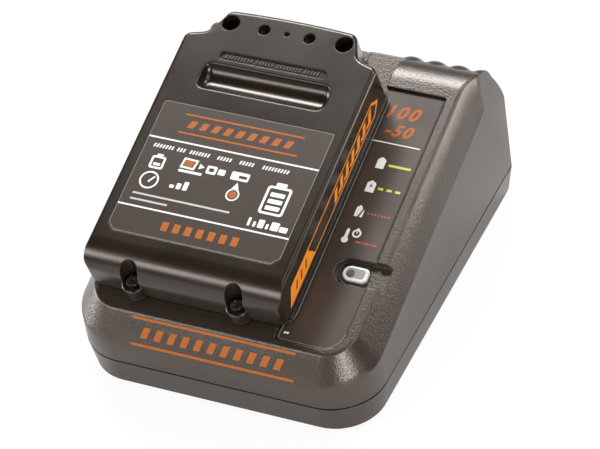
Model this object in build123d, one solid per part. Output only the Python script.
from build123d import *
import math
import os

# Slide-pack battery charger with its battery pack docked, in millimetres, +Z up.
# The origin is under the middle of the charger, on the surface that its feet stand on.
# The dock is a deck that rises towards the back. Deck coordinates are (across, along, above):
# across is measured from the pack's middle, along runs up the deck from the front wall, and above
# is square to the deck.

# ---- charger case -------------------------------------------------------------------------------
case_width = 114.0
case_depth = 135.4
half_width = case_width / 2
half_depth = case_depth / 2
corner_front = 18.8
corner_back = 1.6
least_corner = 1.2
deck_angle = 15.4
foot_stand = 1.2
parting_height = 12.8
tray_draft = 1.8
tray_edge = 0.9
crease_above = 20.6
deck_above = 30.4
bevel_side = 7.1
bevel_front = 9.1
crest_corner = 11.0
roll_radius = 16.6
facet_run = 18.6
facet_drop = 9.4
facet_angle = 69.5
crest_round = 1.6
case_wall = 2.4
tray_floor = 2.6
seam_step = 0.5
seam_height = 0.7
tongue_height = 1.5
tongue_width = 1.2
tongue_clearance = 0.2
seat_gap = 0.3
fuse_lap = 0.2
flute_count = 4
flute_pitch = 9.05
flute_first = half_width - 32.3
flute_rise = 1.1
flute_round = 6.9
flute_start = 47.0
flute_end = 95.0
flute_sink = 0.6

# ---- dock ---------------------------------------------------------------------------------------
dock_offset = 12.2
well_half = 35.2
well_front = 26.0
ledge_above = 25.1
rail_thickness = 2.2
slot_half = 21.8
channel_half = 25.0
channel_above = 19.4
rail_front = 32.0
blade_across = (-15.0, -5.0, 5.0, 15.0)
blade_thickness = 0.8
blade_height = 3.8
blade_lift = 1.0
blade_reach = 7.8
blade_root = 2.2
block_half = 20.0
block_depth = 4.2
block_height = 5.0
block_edge = 0.6

# ---- status panel and indicator -----------------------------------------------------------------
panel_left = well_half - 1.2
panel_right = dock_offset + half_width - 10.9
panel_front = 17.1
panel_back = case_depth - 11.9
panel_corner = 8.0
panel_small_corner = 1.5
panel_sink = 1.0
plate_thickness = 0.5
plate_clearance = 0.2
panel_groove = 0.45
window_across = 51.6
window_along = 48.9
window_half = 5.1
window_left = 44.2
window_depth = 2.2
window_round = 0.7
channel_rise = 1.3
channel_start = 57.0
lens_length = 9.4
lens_width = 5.8
lens_corner = 1.6
lens_rise = 1.5
lens_clearance = 0.15
pipe_radius = 2.3
led_radius = 2.5
led_height = 4.0
led_gap = 0.3

# ---- case fixings and inside --------------------------------------------------------------------
boss_across = half_width - 13.0
boss_front = 25.7 - half_depth
boss_back = half_depth - 17.7
boss_radius = 3.6
screw_radius = 1.4
screw_play = 0.2
screw_grip = 0.05
screw_head_radius = 2.7
screw_head_height = 2.0
pack_head_radius = 2.2
drive_length = 3.0
drive_width = 0.7
drive_depth = 1.2
screw_bite = 7.0
pilot_radius = 1.5
head_pocket_radius = 3.2
head_pocket_depth = 5.0
foot_radius = 6.0
foot_sink = 1.0
foot_across = half_width - 14.0
foot_front = 11.7 - half_depth
foot_back = half_depth - 9.6
vent_count = 7
vent_pitch = 6.5
vent_width = 2.6
vent_length = 24.0
vent_along = -12.0
board_width = case_width - 40.0
board_length = case_depth - 43.4
board_thickness = 1.6
board_height = 7.6
post_radius = 2.6
post_root = 0.5
boss_wall = 1.2
post_inset = 5.0
core_width = 26.0
core_depth = 22.0
core_height = 20.0
coil_width = 18.0
coil_depth = 30.0
coil_height = 13.0
core_leg = 5.0
core_x = -14.0
core_y = board_length / 2 - 20.0
can_radius = 5.0
can_height = 17.0
can_across = (12.0, 24.0)
can_y = board_length / 2 - 10.0
can_edge = 0.6
sink_length = 32.0
sink_thickness = 2.0
sink_height = 14.0
sink_x = 22.0
sink_y = 4.0
fin_count = 5
fin_reach = 5.0
gland_x = half_width - 23.0
gland_z = 27.0
gland_radius = 4.6
gland_bore = 3.1
gland_length = 9.0
gland_flange = 1.4
gland_flange_radius = 6.4
gland_clearance = 0.1

# ---- battery pack -------------------------------------------------------------------------------
cell_length = 65.0
cell_end_room = 5.1
pack_width = cell_length + 2 * cell_end_room
pack_half = pack_width / 2
pack_length = 110.4
pack_nose = 21.8
pack_top = 48.6
cover_bottom = 31.2
nose_round = 10.9
nose_bow = 0.9
nose_corner = 2.5
shoulder_along = pack_length - 13.2
shoulder_inner = pack_half - 8.6
shoulder_step = 2.4
neck_half = pack_half - 13.0
tail_bow = 0.8
shoulder_round = 3.2
waist_round = 6.0
tail_round = 3.6
top_edge = 1.8
cover_wall = 1.6
bead_reach = 0.5
bead_height = 1.1
nose_edge_above = 33.4
chin_inset = 0.6
chin_depth = 3.0
chin_clearance = 0.2
label_half = pack_half - 4.6
label_front = 13.2
label_back = pack_length - 42.4
label_corner = 2.7
label_top_corner = 0.9
label_sink = 0.5
label_thickness = 0.35
label_clearance = 0.15
strip_front = 5.2
strip_back = pack_length - 19.1
strip_low = 34.4
strip_high = 41.9
strip_point = 4.6
strip_sink = 0.4
strip_thickness = 0.3
scoop_half = 24.6
scoop_front = pack_length - 34.8
scoop_back = pack_length - 24.0
scoop_depth = 4.0
scoop_end = 3.0
scoop_lip = 0.8
pill_half = 20.8
pill_along = pack_length - 20.1
pill_width = 3.6
pill_depth = 0.7
front_screw_across = 20.0
front_screw_along = 0.7
front_pocket_radius = 3.4
front_pocket_floor = 36.4
front_boss_radius = 4.3
front_boss_top = 37.4
front_boss_edge = 0.6
chin_boss_radius = 3.9
rear_screw_across = 22.1
rear_screw_along = pack_length - 6.4
rear_pocket_radius = 3.3
rear_pocket_floor = 35.2
dimple_across = 8.8
dimple_along = pack_length - 6.7
dimple_radius = 2.2
dimple_depth = 3.0
pin_hole_radius = 1.0
pin_hole_depth = 1.2

# ---- pack base, cells and contacts --------------------------------------------------------------
base_half = well_half - 0.4
base_front = 4.5
base_back = pack_length - 11.8
base_corner = 4.0
base_bottom = 25.4
base_wall = 1.2
base_floor = 1.6
flange_thickness = 2.0
flange_clearance = 0.2
neck_bottom = 28.0
neck_inset = 2.6
tower_head_half = 24.6
tower_edge = 2.0
tower_neck_half = 21.3
tower_front = 9.0
tower_back = pack_length - 22.4
tower_bottom = 19.8
tower_head_top = 22.6
clip_slot_half = 1.5
clip_slot_depth = 11.0
clip_slot_top = 25.0
clip_leaf = 0.4
clip_gap = 0.25
clip_length = 9.0
clip_lift = 0.6
cell_count = 5
cell_pitch = (base_back - base_front - 2 * base_wall) / cell_count
cell_standard_radius = 9.1
cell_radius = min(cell_standard_radius, cell_pitch / 2 - 0.06)
cell_first = base_front + base_wall + cell_pitch / 2
cell_edge = 0.6
cell_clearance = 0.1
cell_above = base_bottom + base_floor + cell_clearance + cell_radius
cell_nub_radius = 2.6
cell_nub_height = 0.4
cradle_across = 22.0
cradle_thickness = 2.4
strap_width = 7.0
strap_thickness = 0.15
card_along = pack_length - 11.0
card_thickness = 1.2
card_half = 18.0
card_height = 12.0
card_lift = 0.2

# ---- latch --------------------------------------------------------------------------------------
latch_travel = 3.0
button_half = 11.2
button_inner = pack_length - 3.5
button_outer = pack_length - 0.8
button_low = 31.6
button_high = 38.2
button_edge = 0.8
window_margin = 0.35
guide_half = 13.2
guide_inner = pack_length - 7.2
guide_outer = pack_length - 2.5
guide_top = 36.4
tooth_half = 6.0
tooth_inner = pack_length - 8.8
tooth_outer = pack_length - 4.8
tooth_bottom = 22.6
tooth_slope = 2.0
spring_along = pack_length - 6.2
spring_gap = 0.05
spring_radius = 2.0
spring_wire = 0.4
spring_turns = 4

# ---- values that follow from the sizes above ----------------------------------------------------
sin_deck = math.sin(math.radians(deck_angle))
cos_deck = math.cos(math.radians(deck_angle))
deck = Plane(origin=(-dock_offset, -half_depth, 0), x_dir=(1, 0, 0), z_dir=(0, -sin_deck, cos_deck))
case_left = dock_offset - half_width
case_right = dock_offset + half_width
far = 2 * case_depth
crease_front = crease_above * math.tan(math.radians(deck_angle))
rim_top = parting_height + tongue_height
board_top = board_height + board_thickness


def block(x0, x1, y0, y1, z0, z1):
    """A box between two corners."""
    middle = Pos((x0 + x1) / 2, (y0 + y1) / 2, (z0 + z1) / 2)
    return middle * Box(x1 - x0, y1 - y0, z1 - z0)


def post(x, y, z0, z1, radius):
    """An upright cylinder between two heights."""
    return Pos(x, y, (z0 + z1) / 2) * Cylinder(radius, z1 - z0)


def height_on_deck(y, above):
    """Height over the table of a point this far above the deck's base plane, at y from the front."""
    return (above + sin_deck * y) / cos_deck


# ---- charger case -------------------------------------------------------------------------------
def plan_face(inset):
    """The case seen from above: wide corners at the front, tight ones at the back."""
    face = Rectangle(case_width - 2 * inset, case_depth - 2 * inset)
    face = fillet(face.vertices().group_by(Axis.Y)[0], corner_front - inset)
    return fillet(face.vertices().group_by(Axis.Y)[-1], max(corner_back - inset, least_corner))


def bevel_section(above, side, front, radius):
    """A section square to the deck, spread by side and front from the crease."""
    x0 = case_left - side
    x1 = case_right + side
    y0 = crease_front - front
    face = Pos((x0 + x1) / 2, (y0 + far) / 2) * Rectangle(x1 - x0, far - y0)
    face = fillet(face.vertices().group_by(Axis.Y)[0], radius)
    return Pos(0, 0, above) * face


def bevel_body(sink, inset):
    """The bevel from the crease up to the deck's rim, standing on a prism wider than the case."""
    rise = deck_above - crease_above
    wide = 2 * corner_front - crest_corner
    low = bevel_section(crease_above - rise - sink, bevel_side - inset, bevel_front - inset, wide)
    high = bevel_section(deck_above - sink, -bevel_side - inset, -bevel_front - inset, crest_corner)
    return deck * (loft([low, high], ruled=True) + extrude(low, -case_depth))


def side_body(inset):
    """The deck's slope and the roll over the back edge, as one profile across the whole width."""
    radius = roll_radius - inset
    back = half_depth - inset
    y_mid = half_depth - roll_radius
    z_mid = height_on_deck(case_depth - roll_radius, deck_above - roll_radius)
    turn = math.radians(45 - deck_angle / 2)
    roll_end = (back, z_mid)
    roll_mid = (y_mid + radius * math.cos(turn), z_mid + radius * math.sin(turn))
    roll_top = (y_mid - radius * sin_deck, z_mid + radius * cos_deck)
    slope = sin_deck / cos_deck
    front_top = (-case_depth, roll_top[1] - slope * (roll_top[0] + case_depth))
    base = Polyline(roll_top, front_top, (-case_depth, 0), (back, 0), roll_end)
    roll = ThreePointArc(roll_end, roll_mid, roll_top)
    face = Plane.YZ * make_face(base + roll)
    return extrude(face, case_width, both=True)


def corner_facet(side):
    """The facet that takes the crease down towards the back corner of one side."""
    y0 = half_depth - facet_run
    z0 = height_on_deck(case_depth - facet_run, crease_above)
    run = Vector(0, facet_run, -facet_drop).normalized()
    lean = Vector(-side * math.cos(math.radians(facet_angle)), 0, math.sin(math.radians(facet_angle)))
    outward = run.cross(lean) * side
    cutter = Box(4 * facet_run, 4 * facet_run, roll_radius, align=(Align.CENTER, Align.CENTER, Align.MIN))
    return Plane(origin=(side * half_width, y0, z0), x_dir=run, z_dir=outward) * cutter


def case_body(inset):
    """The closed outer form of the upper case, pulled in by inset."""
    column = Pos(0, 0, parting_height) * extrude(plan_face(inset), case_depth)
    body = column & bevel_body(inset, inset / 2)
    return body & side_body(inset)


def crest_edges(body):
    """The edges where the bevel meets the deck's rim."""
    picked = []
    for edge in body.edges():
        middle = deck.to_local_coords(edge @ 0.5)
        across = abs((edge @ 1).X - (edge @ 0).X)
        level = abs(middle.Z - deck_above) < 0.01
        if level and across < edge.length * 0.999:
            picked.append(edge)
        elif level and middle.Y < well_front:
            picked.append(edge)
    return picked


def flutes():
    """Rounded flutes side by side over the roll, dying out into the back wall."""
    y_mid = half_depth - roll_radius
    z_mid = height_on_deck(case_depth - roll_radius, deck_above - roll_radius)
    lobes = []
    for i in range(flute_count):
        x = flute_first + i * flute_pitch
        centre = roll_radius + flute_rise - flute_round
        disc = Pos(x, y_mid, z_mid) * Rot(-flute_start, 0, 0) * Pos(0, 0, centre) * Plane.XZ * Circle(flute_round)
        lobes.append(revolve(disc, Axis((0, y_mid, z_mid), (-1, 0, 0)), flute_end - flute_start))
        lobes.append(Pos(x, y_mid, z_mid) * Rot(-flute_start, 0, 0) * Pos(0, 0, centre) * Sphere(flute_round))
    body = Part() + lobes
    core = Pos(0, y_mid, z_mid) * Rot(0, 90, 0) * Cylinder(roll_radius - flute_sink, far)
    body = (body - core) & block(-half_width, half_width, 0, half_depth, 0, far)
    return body - corner_facet(1)


def well_body(grow, top):
    """The well under the pack and the undercut channel in its floor, open at the back."""
    well = block(-well_half - grow, well_half + grow, well_front - grow, far, ledge_above - grow, top)
    low = block(-channel_half - grow, channel_half + grow, well_front - grow, far,
                channel_above - grow, ledge_above - rail_thickness)
    slot = block(-slot_half - grow, slot_half + grow, well_front - grow, far, channel_above, ledge_above)
    mouth = block(-channel_half - grow, channel_half + grow, well_front - grow, rail_front,
                  channel_above - grow, ledge_above)
    return deck * (well + low + slot + mouth)


def panel_face(clearance):
    """The status panel's outline: a wide corner at the front right, open to the well on its left."""
    x0 = panel_left + clearance
    x1 = panel_right - clearance
    y0 = panel_front + clearance
    y1 = panel_back - clearance
    face = Pos((x0 + x1) / 2, (y0 + y1) / 2) * Rectangle(x1 - x0, y1 - y0)
    rows = face.vertices().group_by(Axis.Y)
    face = fillet(rows[0].sort_by(Axis.X)[-1:], panel_corner)
    small = face.vertices().group_by(Axis.Y)[0].sort_by(Axis.X)[:1]
    face = fillet(small, panel_small_corner)
    return fillet(face.vertices().group_by(Axis.Y)[-1], panel_small_corner)


def window_body(grow, floor, rise):
    """The slot that the lens sits in: round at its left end, its floor rising out through the rim."""
    half = window_half + grow
    start = window_left + window_half
    points = [(start, floor), (channel_start, floor), (case_right + rise, floor + rise),
              (case_right + rise, far), (start, far)]
    side = Plane.XZ * make_face(Polyline(*points, close=True))
    run = Pos(0, window_along, 0) * extrude(side, half, both=True)
    head = post(start, window_along, floor, far, half)
    return deck * (run + head)


def lens_face(clearance):
    """The lens seen square to the deck: round at its left end, squarer at its right end."""
    half = lens_width / 2 + clearance
    face = Rectangle(lens_length + 2 * clearance, lens_width + 2 * clearance)
    ends = face.vertices().group_by(Axis.X)
    face = fillet(ends[0], half * 0.96)
    face = fillet(face.vertices().group_by(Axis.X)[-1], lens_corner + clearance)
    return Pos(window_across, window_along) * face


def boss_spots():
    """Where the four case screws stand."""
    return [(x, y) for x in (-boss_across, boss_across) for y in (boss_front, boss_back)]


def top_housing():
    body = case_body(0)
    body = body - corner_facet(1) - corner_facet(-1)
    body = fillet(crest_edges(body), crest_round)
    body = body + flutes()
    panel_level = deck_above - panel_sink - plate_thickness
    window_level = deck_above - panel_sink - window_depth
    hollow = case_body(case_wall)
    hollow = hollow - corner_lining(1) - corner_lining(-1)
    hollow = hollow - well_body(case_wall, far)
    hollow = hollow - deck * Pos(0, 0, panel_level - case_wall) * extrude(panel_face(-case_wall), far)
    hollow = hollow - window_body(case_wall, window_level - case_wall, channel_rise)
    for x, y in boss_spots():
        hollow = hollow - post(x, y, parting_height, far, boss_radius)
    body = body - hollow
    body = body - well_body(0, far)
    body = body - deck * Pos(0, 0, panel_level) * extrude(panel_face(0), far)
    body = body - window_body(0, window_level, channel_rise)
    body = body - deck * extrude(lens_face(lens_clearance), far)
    rebate = extrude(plan_face(case_wall - tongue_width), tongue_height + tongue_clearance)
    rebate = Pos(0, 0, parting_height) * rebate
    for x, y in boss_spots():
        rebate = rebate - post(x, y, parting_height, far, boss_radius)
    body = body - rebate
    seam = extrude(plan_face(-1), seam_height) - extrude(plan_face(seam_step), seam_height)
    body = body - Pos(0, 0, parting_height) * seam
    for x, y in boss_spots():
        body = body - post(x, y, 0, parting_height + screw_bite + 1, pilot_radius)
    gland = Pos(gland_x, half_depth, gland_z) * Rot(90, 0, 0)
    return body - gland * Cylinder(gland_radius + gland_clearance, 4 * case_wall)


def corner_lining(side):
    """The wall kept behind the back corner's facet."""
    lining = corner_facet(side)
    return Pos(-side * case_wall, 0, -case_wall / 2) * lining


# ---- tray and inside ----------------------------------------------------------------------------
def tray_cut(inset, z0, z1):
    """A drafted block between two heights, pulled in by inset."""
    span = parting_height - foot_stand
    low = inset + tray_draft * (parting_height - z0) / span
    high = inset + tray_draft * (parting_height - z1) / span
    return loft([Pos(0, 0, z0) * plan_face(low), Pos(0, 0, z1) * plan_face(high)], ruled=True)


def foot_spots():
    """Where the rubber feet are set in."""
    return [(x, y) for x in (-foot_across, foot_across) for y in (foot_front, foot_back)]


def board_spots():
    """Where the circuit board stands on its posts."""
    x = board_width / 2 - post_inset
    y = board_length / 2 - post_inset
    return [(-x, -y), (x, -y), (-x, y), (x, y)]


def base_tray():
    body = tray_cut(0, foot_stand, parting_height)
    body = chamfer(body.faces().sort_by(Axis.Z)[0].edges(), tray_edge)
    inner = foot_stand + tray_floor
    body = body - tray_cut(case_wall, inner, parting_height)
    rim = plan_face(case_wall - tongue_width + tongue_clearance) - plan_face(case_wall)
    body = body + Pos(0, 0, parting_height) * extrude(rim, tongue_height)
    for x, y in boss_spots():
        body = body + post(x, y, foot_stand, parting_height, head_pocket_radius + boss_wall)
    for x, y in board_spots():
        body = body + post(x, y, inner - post_root, board_height, post_radius)
    for x, y in foot_spots():
        body = body + post(x, y, foot_stand, inner + foot_sink, foot_radius + 1)
        body = body - post(x, y, 0, foot_stand + foot_sink, foot_radius)
    for x, y in boss_spots():
        body = body - post(x, y, 0, foot_stand + head_pocket_depth, head_pocket_radius)
        body = body - post(x, y, 0, parting_height + 1, screw_radius + screw_play)
    slots = []
    for i in range(vent_count):
        x = (i - (vent_count - 1) / 2) * vent_pitch
        slots.append(Pos(x, vent_along) * Rot(0, 0, 90) * SlotOverall(vent_length, vent_width))
    return body - extrude(Sketch() + slots, inner + 1)


def case_screws():
    screws = []
    for x, y in boss_spots():
        seat = foot_stand + head_pocket_depth
        head = post(x, y, seat - screw_head_height, seat, screw_head_radius)
        shank = post(x, y, seat, parting_height + screw_bite, screw_radius)
        screws.append(head + shank)
    return Compound(children=screws)


def rubber_feet():
    feet = []
    for x, y in foot_spots():
        foot = post(x, y, 0, foot_stand + foot_sink, foot_radius - plate_clearance)
        feet.append(chamfer(foot.edges().group_by(Axis.Z)[0], foot_stand / 2))
    return Compound(children=feet)


def circuit_board():
    return block(-board_width / 2, board_width / 2, -board_length / 2, board_length / 2, board_height, board_top)


def transformer():
    ring = block(-core_width / 2, core_width / 2, -core_depth / 2, core_depth / 2, 0, core_height)
    gap = block(-core_width / 2 + core_leg, core_width / 2 - core_leg, -core_depth, core_depth,
                core_leg, core_height - core_leg)
    lift = (core_height - coil_height) / 2
    winding = block(-coil_width / 2, coil_width / 2, -coil_depth / 2, coil_depth / 2, lift, lift + coil_height)
    winding = fillet(winding.edges().filter_by(Axis.X), coil_height / 4)
    return Pos(core_x, core_y, board_top) * (ring - gap + winding)


def capacitors():
    cans = []
    for x in can_across:
        can = post(x, can_y, board_top, board_top + can_height, can_radius)
        cans.append(chamfer(can.edges().group_by(Axis.Z)[-1], can_edge))
    return Compound(children=cans)


def heat_sink():
    body = block(-sink_length / 2, sink_length / 2, 0, sink_thickness, 0, sink_height)
    for i in range(fin_count):
        x = (i - (fin_count - 1) / 2) * (sink_length - sink_thickness) / (fin_count - 1)
        half = sink_thickness / 2
        body = body + block(x - half, x + half, sink_thickness, sink_thickness + fin_reach, 0, sink_height)
    return Pos(sink_x, sink_y, board_top) * body


def lens_point(above):
    """A point on the lens's own axis."""
    return deck.from_local_coords(Vector(window_across, window_along, above))


def indicator_lens():
    top = deck_above - panel_sink - window_depth + lens_rise
    bottom = deck_above - panel_sink - window_depth - case_wall - 1
    head = deck * Pos(0, 0, bottom) * extrude(lens_face(0), top - bottom)
    head = fillet(head.edges().filter_by(lambda e: deck.to_local_coords(e @ 0.5).Z > top - 0.01), lens_rise / 2)
    root = lens_point(bottom + 1)
    pipe = post(root.X, root.Y, board_top + led_height + led_gap, root.Z, pipe_radius)
    return head + pipe


def indicator_led():
    root = lens_point(deck_above - panel_sink - window_depth - case_wall)
    body = post(root.X, root.Y, board_top, board_top + led_height, led_radius)
    return fillet(body.edges().group_by(Axis.Z)[-1], led_radius / 2)


def cord_gland():
    aim = Pos(gland_x, half_depth, gland_z) * Rot(90, 0, 0)
    barrel = Cylinder(gland_radius, gland_length, align=(Align.CENTER, Align.CENTER, Align.MIN))
    collar = Pos(0, 0, case_wall + gland_clearance) * Cylinder(
        gland_flange_radius, gland_flange, align=(Align.CENTER, Align.CENTER, Align.MIN))
    bore = Cylinder(gland_bore, 4 * gland_length)
    return aim * (barrel + collar - bore)


def status_panel():
    level = deck_above - panel_sink - plate_thickness
    plate = deck * Pos(0, 0, level) * extrude(panel_face(panel_groove), plate_thickness)
    return plate - window_body(plate_clearance, 0, 0) - well_body(seat_gap, far)


# ---- dock contacts ------------------------------------------------------------------------------
def blade_shapes(start):
    """The upright contact blades, in deck coordinates."""
    z0 = channel_above + blade_lift
    back = well_front + block_depth + blade_reach
    blades = []
    for x in blade_across:
        half = blade_thickness / 2
        blade = block(x - half, x + half, start, back, z0, z0 + blade_height)
        tip = blade.edges().filter_by(Axis.Z).group_by(Axis.Y)[-1]
        blades.append(chamfer(tip, blade_thickness / 3))
    return blades


def contact_block():
    body = block(-block_half, block_half, well_front, well_front + block_depth,
                 channel_above, channel_above + block_height)
    body = chamfer(body.edges().filter_by(Axis.X).group_by(Axis.Z)[-1], block_edge)
    return deck * (body - blade_shapes(well_front + blade_root))


def contact_blades():
    return Compound(children=[deck * blade for blade in blade_shapes(well_front + blade_root)])


# ---- pack cover ---------------------------------------------------------------------------------
def pack_face(inset):
    """The pack square to the deck: bowed nose, straight sides, S-shaped shoulders and a short neck."""
    half = pack_half - inset
    front = inset
    tail = pack_length - inset
    shoulder = shoulder_along - inset
    inner = shoulder + shoulder_step
    nose = ThreePointArc((-half, front), (0, front - nose_bow), (half, front))
    right = Polyline((half, front), (half, shoulder), (shoulder_inner - inset, inner),
                     (neck_half - inset, tail - tail_bow))
    tail_end = ThreePointArc((neck_half - inset, tail - tail_bow), (0, tail), (inset - neck_half, tail - tail_bow))
    left = Polyline((inset - neck_half, tail - tail_bow), (inset - shoulder_inner, inner), (-half, shoulder),
                    (-half, front))
    face = make_face(nose + right + tail_end + left)
    rounds = ((front, nose_corner), (shoulder, shoulder_round), (inner, waist_round),
              (tail - tail_bow, tail_round))
    for along, radius in rounds:
        spots = [v for v in face.vertices() if abs(v.Y - along) < 0.01]
        face = fillet(spots, radius)
    return face


def pack_body(inset, bottom, edge):
    """The pack's outer form, pulled in by inset: flat top with its edges rounded, and a round nose."""
    top = pack_top - inset
    body = Pos(0, 0, bottom) * extrude(pack_face(inset), top - bottom)
    if edge > 0:
        body = fillet(body.edges().group_by(Axis.Z)[-1], edge)
    radius = nose_round - inset
    lead = inset - nose_bow
    nose = block(-far, far, lead - far, lead + radius, top - radius, far)
    barrel = Pos(0, lead + radius, top - radius) * Rot(0, 90, 0) * Cylinder(radius, 2 * far)
    return Pos(0, pack_nose) * (body - (nose - barrel))


def label_face(clearance):
    """The label's outline, with its two front corners clipped."""
    half = label_half - clearance
    y0 = pack_nose + label_front + clearance
    y1 = pack_nose + label_back - clearance
    face = Pos(0, (y0 + y1) / 2) * Rectangle(2 * half, y1 - y0)
    face = chamfer(face.vertices().group_by(Axis.Y)[0], label_corner)
    return fillet(face.vertices().group_by(Axis.Y)[-1], label_top_corner)


def strip_body(side, clearance, sink, thickness):
    """The side strip, pointed at both ends, seated sink deep in the pack's side."""
    y0 = pack_nose + strip_front + clearance
    y1 = pack_nose + strip_back - clearance
    z0 = strip_low + clearance
    z1 = strip_high - clearance
    points = [(y0, z0), (y1 - strip_point, z0), (y1, (z0 + z1) / 2), (y1 - strip_point, z1),
              (y0 + strip_point, z1)]
    face = Plane.YZ * make_face(Polyline(*points, close=True))
    start = pack_half - sink
    solid = Pos(start, 0, 0) * extrude(face, thickness)
    if side < 0:
        solid = mirror(solid, Plane.YZ)
    return solid


def scoop_body(grow):
    """The finger grip across the top of the pack."""
    half = (scoop_back - scoop_front) / 2
    radius = (half * half + scoop_depth * scoop_depth) / (2 * scoop_depth)
    centre = pack_top - scoop_depth + radius
    middle = pack_nose + (scoop_front + scoop_back) / 2
    rod = Rot(0, 90, 0) * Cylinder(radius + grow, 2 * (scoop_half + grow))
    rod = fillet(rod.edges().filter_by(GeomType.CIRCLE), scoop_end + grow)
    return Pos(0, middle, centre) * rod


def pack_pockets(grow):
    """The round pockets in the cover's tail, in deck coordinates, grown to leave their walls."""
    pockets = []
    for side in (-1, 1):
        pockets.append(post(side * rear_screw_across, pack_nose + rear_screw_along,
                            rear_pocket_floor - grow, far, rear_pocket_radius + grow))
        pockets.append(post(side * dimple_across, pack_nose + dimple_along,
                            pack_top - dimple_depth - grow, far, dimple_radius + grow))
    return pockets


def front_columns(radius, low, high):
    """Upright cylinders on the axes of the two front screws."""
    along = pack_nose + front_screw_along
    return [post(side * front_screw_across, along, low, high, radius) for side in (-1, 1)]


def chin_room(clearance):
    """The space under the nose's raised edge, where the base comes to the front."""
    return block(-far, far, -far, pack_nose + chin_depth - clearance, 0, nose_edge_above - clearance)


def screw_places():
    """Across, along and pocket floor of each pack screw."""
    front = [(side * front_screw_across, front_screw_along, front_pocket_floor) for side in (-1, 1)]
    rear = [(side * rear_screw_across, rear_screw_along, rear_pocket_floor) for side in (-1, 1)]
    return front + rear


def button_window():
    """The opening in the tail that the latch button moves in."""
    half = button_half + window_margin
    high = button_high + latch_travel + window_margin
    return block(-half, half, pack_nose + guide_outer, far, cover_bottom - 1, high)


def scoop_rim(body):
    """The edges where the finger grip meets the pack's top."""
    picked = []
    for edge in body.edges():
        middle = edge @ 0.5
        along = middle.Y - pack_nose
        level = abs(middle.Z - pack_top) < 0.01 and abs((edge @ 0).Z - pack_top) < 0.01
        if level and scoop_front - 0.1 < along < scoop_back + 0.1 and abs(middle.X) < scoop_half + 0.1:
            picked.append(edge)
    return picked


def pack_hollow():
    """The room inside the cover, with walls left round its pockets and its finger grip."""
    room = pack_body(cover_wall, cover_bottom, 0)
    room = room - scoop_body(cover_wall)
    for pocket in pack_pockets(cover_wall):
        room = room - pocket
    for column in front_columns(front_boss_radius, cover_bottom, far):
        room = room - column
    room = room + flange_body(0)
    for along in cell_places():
        room = room + cell_rod(along, cell_radius + cell_clearance, cell_length + 2 * cell_clearance)
    return room


def pack_cover():
    body = pack_body(0, cover_bottom, top_edge)
    body = fillet(scoop_rim(body - scoop_body(0)), scoop_lip)
    body = body + Pos(0, pack_nose, cover_bottom) * extrude(pack_face(-bead_reach), bead_height)
    for boss in front_columns(front_boss_radius, cover_bottom, front_boss_top):
        body = body + fillet(boss.edges().group_by(Axis.Z)[-1], front_boss_edge)
    body = body - pack_hollow() - chin_room(0)
    for pocket in pack_pockets(0) + front_columns(front_pocket_radius, front_pocket_floor, far):
        body = body - pocket
    body = body - post(0, pack_nose + dimple_along, pack_top - pin_hole_depth, far, pin_hole_radius)
    body = body - Pos(0, 0, pack_top - label_sink) * extrude(label_face(0), far)
    pill = Pos(0, pack_nose + pill_along) * SlotOverall(2 * pill_half, pill_width)
    body = body - Pos(0, 0, pack_top - pill_depth) * extrude(pill, far)
    for side in (-1, 1):
        body = body - strip_body(side, 0, strip_sink, 1)
    for x, y, floor in screw_places():
        body = body - post(x, pack_nose + y, cover_bottom, floor + 1, screw_radius + screw_play)
    return deck * (body - button_window())


def pack_label():
    return deck * Pos(0, 0, pack_top - label_sink) * extrude(label_face(label_clearance), label_thickness)


def side_label(side):
    return deck * strip_body(side, label_clearance, strip_sink, strip_thickness)


def pack_screws(front):
    screws = []
    for x, y, floor in screw_places():
        if (y < pack_length / 2) == front:
            head = post(x, pack_nose + y, floor, floor + screw_head_height, pack_head_radius)
            drive = Pos(x, pack_nose + y, floor + screw_head_height) * Rot(0, 0, 45)
            cross = Box(drive_length, drive_width, drive_depth) + Box(drive_width, drive_length, drive_depth)
            shank = post(x, pack_nose + y, cover_bottom + seat_gap, floor, screw_radius)
            screws.append(deck * (head + shank - drive * cross))
    return Compound(children=screws)


# ---- pack base ----------------------------------------------------------------------------------
def flange_body(clearance):
    """The base's flange inside the cover's skirt, with the space that the front lugs take."""
    inset = cover_wall + clearance
    return Pos(0, pack_nose, cover_bottom) * extrude(pack_face(inset), flange_thickness + seat_gap - clearance)


def cell_places():
    """Along-deck place of each cell's axis."""
    return [pack_nose + cell_first + i * cell_pitch for i in range(cell_count)]


def cell_rod(along, radius, length):
    """A cylinder across the pack on one cell's axis."""
    return Pos(0, along, cell_above) * Rot(0, 90, 0) * Cylinder(radius, length)


def base_tub():
    """The base's tub with its cavity, in deck coordinates."""
    y0 = pack_nose + base_front
    y1 = pack_nose + base_back
    tub = block(-base_half, base_half, y0, y1, base_bottom, cover_bottom)
    tub = fillet(tub.edges().filter_by(Axis.Z), base_corner)
    tub = fillet(tub.edges().filter_by(Axis.X).group_by(Axis.Z)[0], base_floor)
    return tub


def base_cavity():
    """The room for the cells inside the base."""
    y0 = pack_nose + base_front + base_wall
    y1 = pack_nose + base_back - base_wall
    half = base_half - base_wall
    return block(-half, half, y0, y1, base_bottom + base_floor, far)


def cradles():
    """Cusped ribs that hold the cells apart."""
    ribs = []
    for side in (-1, 1):
        x = side * cradle_across
        half = cradle_thickness / 2
        y0 = pack_nose + base_front + base_wall - fuse_lap
        y1 = cell_places()[-1] + cell_radius
        ribs.append(block(x - half, x + half, y0, y1, base_bottom + base_floor - fuse_lap, cover_bottom + flange_thickness))
    body = Part() + ribs
    for along in cell_places():
        body = body - cell_rod(along, cell_radius + cell_clearance, 2 * pack_width)
    return body


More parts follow.
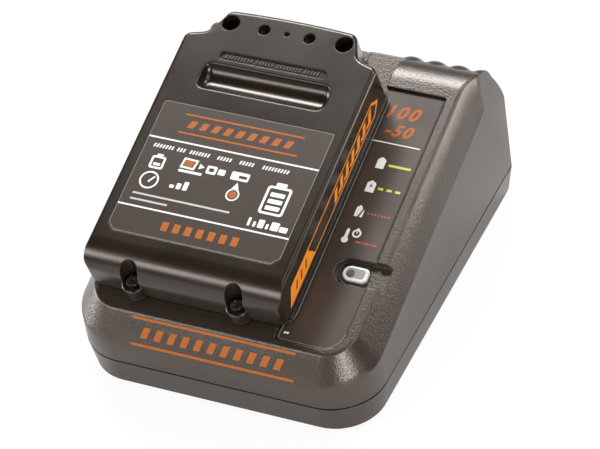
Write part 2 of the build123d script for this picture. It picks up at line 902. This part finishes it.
def tower():
    """The slide-in tower under the base: a head with a groove along each side for the dock's rails."""
    y0 = pack_nose + tower_front
    y1 = pack_nose + tower_back
    head = block(-tower_head_half, tower_head_half, y0, y1, tower_bottom, tower_head_top)
    head = chamfer(head.edges().filter_by(Axis.Z).group_by(Axis.Y)[0], tower_edge)
    stem = block(-tower_neck_half, tower_neck_half, y0, y1, tower_head_top, base_bottom + base_floor / 2)
    body = head + stem
    for x in blade_across:
        body = body - block(x - clip_slot_half, x + clip_slot_half, y0 - 1, y0 + clip_slot_depth,
                            tower_bottom - 1, clip_slot_top)
    return body


def latch_guide():
    """The shaft that the latch's tooth and guide move in."""
    half = guide_half + window_margin
    y0 = pack_nose + guide_inner - window_margin
    room = block(-half, half, y0, far, button_low - window_margin, far)
    tooth = tooth_half + window_margin
    shaft = block(-tooth, tooth, pack_nose + tooth_inner - window_margin,
                  pack_nose + tooth_outer + window_margin, 0, far)
    return room + shaft


def pack_base():
    tub = base_tub()
    neck_rim = Pos(0, pack_nose, neck_bottom) * extrude(pack_face(neck_inset), cover_bottom - neck_bottom)
    neck = neck_rim & block(-far, far, pack_nose + base_back - 1, far, 0, far)
    flange = flange_body(flange_clearance)
    body = tub + neck + flange - base_cavity() + tower() + cradles()
    body = body - latch_guide()
    chin = Pos(0, pack_nose, cover_bottom) * extrude(pack_face(chin_inset), flange_thickness)
    for column in front_columns(chin_boss_radius, cover_bottom, cover_bottom + flange_thickness):
        chin = chin + column
    body = body + (chin & chin_room(chin_clearance))
    for x, y, _ in screw_places():
        body = body - post(x, pack_nose + y, cover_bottom, far, screw_radius + screw_grip)
    return deck * body


def cell(along):
    body = cell_rod(along, cell_radius, cell_length)
    body = fillet(body.edges(), cell_edge)
    nub = Pos(cell_length / 2 + cell_nub_height / 2, along, cell_above) * Rot(0, 90, 0)
    return deck * (body + nub * Cylinder(cell_nub_radius, cell_nub_height))


def cell_straps():
    straps = []
    places = cell_places()
    half = strap_width / 2
    right = cell_length / 2 + cell_nub_height
    left = -cell_length / 2 - strap_thickness
    for i in range(cell_count - 1):
        x0 = right if i % 2 else left
        straps.append(deck * block(x0, x0 + strap_thickness, places[i] - half, places[i + 1] + half,
                                   cell_above - half, cell_above + half))
    return Compound(children=straps)


def pack_board():
    y0 = pack_nose + card_along
    z0 = cover_bottom + flange_thickness + card_lift
    return deck * block(-card_half, card_half, y0 - card_thickness, y0, z0, z0 + card_height)


def pack_contacts():
    clips = []
    y0 = pack_nose + tower_front + 1
    for x in blade_across:
        inner = blade_thickness / 2 + clip_gap
        outer = inner + clip_leaf
        clip = block(x - outer, x + outer, y0, y0 + clip_length, tower_bottom + clip_lift, clip_slot_top)
        clip = clip - block(x - inner, x + inner, y0 - 1, y0 + clip_length - clip_leaf, 0, far)
        clips.append(deck * clip)
    return Compound(children=clips)


# ---- latch --------------------------------------------------------------------------------------
def latch_button():
    face = block(-button_half, button_half, pack_nose + button_inner, pack_nose + button_outer,
                 button_low, button_high)
    face = fillet(face.edges().group_by(Axis.Y)[-1], button_edge)
    guide = block(-guide_half, guide_half, pack_nose + guide_inner, pack_nose + guide_outer - seat_gap,
                  button_low, guide_top)
    tooth = block(-tooth_half, tooth_half, pack_nose + tooth_inner, pack_nose + tooth_outer,
                  tooth_bottom, guide_top)
    tooth = chamfer(tooth.edges().filter_by(Axis.X).group_by(Axis.Z)[0].sort_by(Axis.Y)[:1], tooth_slope)
    ridge = Pos(0, pack_nose + button_outer, (button_low + button_high) / 2) * Rot(0, 90, 0)
    bar = ridge * Cylinder(button_edge, button_half)
    return deck * (face + guide + tooth + bar)


def latch_spring():
    low = guide_top + spring_wire + spring_gap
    high = pack_top - cover_wall - spring_wire - spring_gap
    coil = Helix(pitch=(high - low) / spring_turns, height=high - low, radius=spring_radius)
    section = Plane(origin=coil @ 0, z_dir=coil % 0) * Circle(spring_wire)
    wire = sweep(section, path=coil)
    return deck * Pos(0, pack_nose + spring_along, low) * wire


# ---- output -------------------------------------------------------------------------------------
parts = {
    "base_tray": base_tray(),
    "top_housing": top_housing(),
    "status_panel": status_panel(),
    "indicator_lens": indicator_lens(),
    "indicator_led": indicator_led(),
    "circuit_board": circuit_board(),
    "transformer": transformer(),
    "capacitors": capacitors(),
    "heat_sink": heat_sink(),
    "cord_gland": cord_gland(),
    "case_screws": case_screws(),
    "rubber_feet": rubber_feet(),
    "contact_block": contact_block(),
    "contact_blades": contact_blades(),
    "pack_cover": pack_cover(),
    "pack_label": pack_label(),
    "side_label_left": side_label(-1),
    "side_label_right": side_label(1),
    "front_pack_screws": pack_screws(True),
    "rear_pack_screws": pack_screws(False),
    "pack_base": pack_base(),
    "cell_straps": cell_straps(),
    "pack_board": pack_board(),
    "pack_contacts": pack_contacts(),
    "latch_button": latch_button(),
    "latch_spring": latch_spring(),
}
for number, along in enumerate(cell_places(), start=1):
    parts[f"cell_{number}"] = cell(along)

os.makedirs("parts", exist_ok=True)
for name, shape in parts.items():
    export_step(shape, f"parts/{name}.step")
